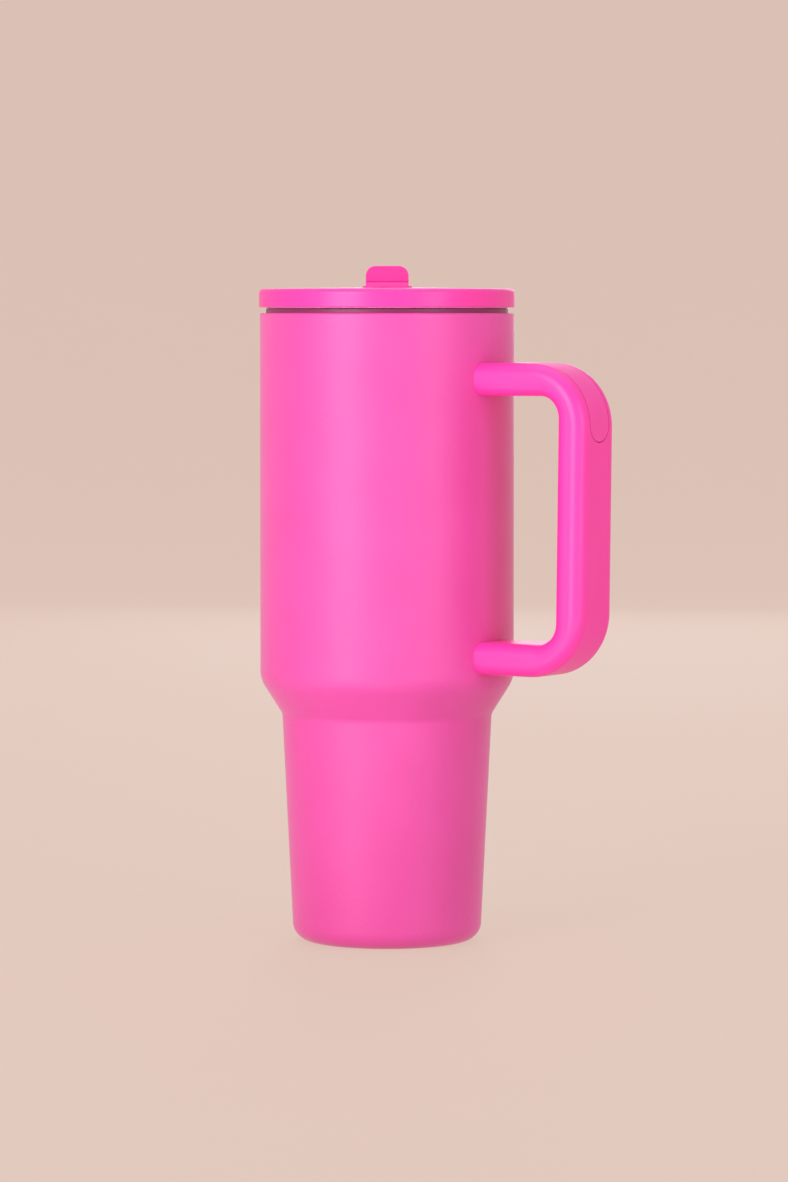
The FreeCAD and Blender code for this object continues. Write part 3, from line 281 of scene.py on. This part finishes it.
# %% Brushed steel
steel = finish("Stainless steel 18/8, brushed", ("#C4C2BF", "#CFCDCA"), gloss=(0.2, 0.36),
               grain=0.4, depth=0.004, wander=18, detail=4.0, Metallic=1.0)
tree = steel.node_tree
parts = add(tree, "ShaderNodeSeparateXYZ", {0: tree.nodes["Place"].outputs["Object"]}).outputs
flat = add(tree, "ShaderNodeCombineXYZ", {"X": parts["X"], "Y": parts["Y"]})
radius = add(tree, "ShaderNodeVectorMath", {0: flat.outputs[0]}, operation="LENGTH")
rings = add(tree, "ShaderNodeCombineXYZ", {"X": radius.outputs["Value"], "Y": parts["Z"]})
tree.links.new(rings.outputs[0], tree.nodes["Grain"].inputs["Vector"])
FINISHES["stainless_steel"] = steel

# %% [markdown]
# **Silicone rubber.** Seals, valve, mouthpiece and grommet are pressed in polished moulds. Silicone
# is cloudy and lets light a little way in, and dust-fine bloom makes its gloss uneven.

# %% Silicone
FINISHES["silicone"] = finish("Silicone rubber, 50 Shore A", ("#F7B0D8", "#FAB8DD"),
                              gloss=(0.4, 0.52), grain=0.8, depth=0.006, wander=5, detail=3.0,
                              IOR=1.41, Subsurface_Weight=0.3, Subsurface_Scale=1.5 * MM)

# %% [markdown]
# **Clear copolyester.** The straw is extruded, so faint die lines run along it. It is seen through,
# with most of its look in the glint on its edges. The noise is stretched along the axis.

# %% Clear plastic
clear = finish("Copolyester, extruded clear", ("#FBF6F9", "#FAF5F8"), gloss=(0.06, 0.12),
               grain=0.5, depth=0.003, wander=20, IOR=1.52, Transmission_Weight=0.9)
tree = clear.node_tree
STRETCH = 50  # length of a die line over its width
along = add(tree, "ShaderNodeMapping", {"Vector": tree.nodes["Place"].outputs["Object"],
                                        "Scale": (1, 1, 1 / STRETCH)})
tree.links.new(along.outputs[0], tree.nodes["Grain"].inputs["Vector"])
FINISHES["clear_plastic"] = clear

# %% [markdown]
# **Glass solder and getter.** Both are hidden inside the base. The solder is a grey glass bead that
# melts over the vacuum port. The getter is a pressed pellet of zirconium powder, dark and grainy.

# %% Glass and pressed powder
FINISHES["glass_solder"] = finish("Glass solder, fused", ("#595755", "#5F5D5B"),
                                  gloss=(0.14, 0.3), grain=0.9, depth=0.03, wander=3, IOR=1.6)
FINISHES["getter_alloy"] = finish("Zirconium alloy, pressed powder", ("#6A6662", "#726E6A"),
                                  gloss=(0.5, 0.7), grain=0.3, depth=0.03, wander=3, detail=4.0,
                                  Metallic=1.0)

# %% [markdown]
# ## Dressing the solid parts
#
# Each solid already names the slot of its material, so one loop gives every part its finish. The
# solids of the handle, lid and steelwork have their roundings, and need no new surface.

# %% Dress the solid parts
for part in NODES.values():
    for holder in part.material_slots:
        holder.material = FINISHES[holder.material.name]
print("finishes:", sorted(m.name for m in FINISHES.values()))

# %% [markdown]
# ## The flask's painted wall
#
# The wall is drawn from steel sheet 0.6 mm thick: a stem that widens a little, a cone of 13.5 mm, a
# straight barrel, and a foot turned in under the stem. Its top is turned in as well, to meet the
# steel lip, and a thin collar runs up the lip's side and leaves only its top bare. The collar is a
# guess, and its plum colour is a painted shade for the dark line of the gap. The wall is the
# largest surface of all, and a turned shape by rule, so it is made on the lathe.

# %% Turn the wall
WALL = 0.6
COLLAR_TOP = 244.2
WALL_CORNERS = {
    "Foot": (27.4, 0, 0),
    "Base": (36.2, 0, 7.0),
    "Shoulder foot": (40.5, 88.0, 5.0),
    "Shoulder top": (49.0, 101.5, 12.0),
    "Rim": (49.0, RIM, 0.8),
    "Collar foot": (46.6, RIM, 0.3),
    "Collar top": (46.6, COLLAR_TOP, 0.1),
    "Collar inside": (46.4, COLLAR_TOP, 0),
    "Lip edge under": (46.4, RIM - WALL, 0),
    "Rim inside": (49.0 - WALL, RIM - WALL, 0),
    "Shoulder top inside": (49.0 - WALL, 101.6, 11.4),
    "Shoulder foot inside": (40.5 - WALL, 88.1, 5.6),
    "Base inside": (36.2 - WALL, WALL, 6.4),
    "Foot inside": (27.4, WALL, 0),
}
wall = turn("flask_wall", WALL_CORNERS, coat, closed=True, steps=16, longest=5.0, segments=192)
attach(wall, "flask")
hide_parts("outer_shell")

# %% [markdown]
# ## The floor
#
# A round cove has no edge to see from any side: a flat floor that curves up into a wall. It is
# turned on the same lathe. Its paper glows a little, as if lit from behind, which keeps it one even
# tone and leaves only a faint shadow under the flask.

# %% The cove
paper = finish("Background paper, matt", ("#443D39", "#463F3B"), gloss=(0.88, 0.92), grain=4,
               depth=0.05, wander=60, detail=3.0, Emission_Strength=0.88,
               Emission_Color=linear("#DEC4B7"))
FLOOR = -0.1  # just under the foot, so that the two faces don't flicker
COVE_CORNERS = {
    "Middle": (0, FLOOR, 0),
    "Bend": (4000, FLOOR, 1800),
    "Top": (4000, 4000, 0),
}
cove = turn("cove", COVE_CORNERS, paper, closed=False, steps=40, longest=400.0, segments=96)

# %% [markdown]
# ## The lights
#
# Two tall softboxes stand left and right of the camera, and draw the long soft highlights of a
# cylinder. Weaker ones stand behind and hang overhead for the back and the tops. A panel that lies
# on the floor lights the shoulder from below, as a white table would. Places are given by an angle
# from the camera's side, so that the lights keep their relation to the view.

# %% The lights
# how far the camera stands round from the lid's front, towards the handle
VIEW_TURN = math.radians(33.25)


def around(turn_degrees, distance, height):
    """A place turned from the camera's side of the object; positive is to its right."""
    angle = VIEW_TURN + math.radians(turn_degrees)
    return Vector((distance * math.sin(angle), -distance * math.cos(angle), height))


def softbox(name, place, aim, width, height, watts, colour="#FFFFFF"):
    """A soft area light, width by height in metres, that the camera can't see."""
    lamp = bpy.data.lights.new(name, "AREA")
    lamp.shape = "RECTANGLE"
    lamp.size, lamp.size_y = width, height
    lamp.energy = watts
    lamp.color = linear(colour)[:3]
    holder = bpy.data.objects.new(name, lamp)
    holder.location = place
    holder.rotation_euler = (aim - place).to_track_quat("-Z", "Y").to_euler()
    holder.visible_camera = False
    bpy.context.scene.collection.objects.link(holder)
    print(name, "watts:", watts)


MIDDLE = Vector((0, 0, 0.13))
COOL = "#E6F4FF"  # evens out the warm light that the paper gives
softbox("key_softbox", around(-38, 1.7, 0.62), MIDDLE,
        width=0.9, height=1.2, watts=17.5)
softbox("fill_softbox", around(42, 1.9, 0.62), MIDDLE,
        width=0.5, height=1.2, watts=7.8, colour=COOL)
softbox("top_softbox", Vector((0, 0, 1.9)), MIDDLE,
        width=1.6, height=1.6, watts=6, colour=COOL)
softbox("back_softbox", around(175, 1.9, 0.7), MIDDLE,
        width=0.9, height=1.2, watts=6, colour=COOL)
bounce = around(5, 0.6, 0.01)
softbox("floor_bounce", bounce, bounce + Vector((0, 0, 1)),
        width=1.1, height=0.6, watts=2.6, colour=COOL)

world = bpy.data.worlds.new("studio")
world.use_nodes = True
backdrop = world.node_tree.nodes["Background"]
backdrop.inputs["Color"].default_value = linear("#E8F4FF")
backdrop.inputs["Strength"].default_value = 0.75
bpy.context.scene.world = world
bpy.context.scene.view_settings.view_transform = "Standard"

# %% [markdown]
# ## The camera
#
# It stands almost two metres off with a long lens, so the flask's sides look nearly parallel. It is
# level with the lid, whose top is a thin line, and it aims a little right of the axis because the
# handle widens the object on that side.

# %% The camera
EYE = around(0, distance=1.853, height=0.2438)
ASIDE = 0.0027  # the aim lies this far to the right of the axis
LOOK = Vector((ASIDE * math.cos(VIEW_TURN), ASIDE * math.sin(VIEW_TURN), 0.1353))
lens = bpy.data.cameras.new("camera")
lens.lens = 146.2  # focal length in millimetres
lens.clip_start, lens.clip_end = 0.05, 30
camera = bpy.data.objects.new("camera", lens)
camera.location = EYE
camera.rotation_euler = (LOOK - EYE).to_track_quat("-Z", "Y").to_euler()
bpy.context.scene.collection.objects.link(camera)
bpy.context.scene.camera = camera
print("camera at", [round(x, 3) for x in EYE])
